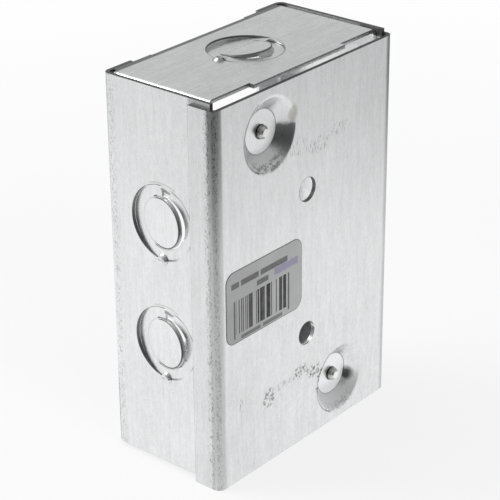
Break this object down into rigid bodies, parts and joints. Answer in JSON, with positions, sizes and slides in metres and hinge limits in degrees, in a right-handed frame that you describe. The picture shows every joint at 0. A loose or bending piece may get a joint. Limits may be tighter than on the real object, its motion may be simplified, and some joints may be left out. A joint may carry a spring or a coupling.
{
  "type": "flush back box",
  "caption": "Pressed steel flush back box, open at the front, with concentric knockouts, device ears, fixing holes and ground dimples.",
  "frame": {"origin": "centre of the footprint at the base, where the box stands on a short end", "axes": "+Z along the length of the box, +Y toward its closed back, open front toward -Y"},
  "size_m": [0.0674, 0.035, 0.1015],
  "materials": {
    "back_sheet": "galvanised, fine spangle",
    "wall_sheet": "galvanised, fine spangle",
    "end_sheet": "galvanised, fine spangle",
    "screw": "zinc plated"
  },
  "bodies": {
    "root": {"back_plate": "back_sheet", "side_wall_right": "wall_sheet", "side_wall_left": "wall_sheet", "end_plate_top": "end_sheet", "end_plate_bottom": "end_sheet", "ground_screw_upper": "screw", "ground_screw_lower": "screw"}
  },
  "joints": []
}
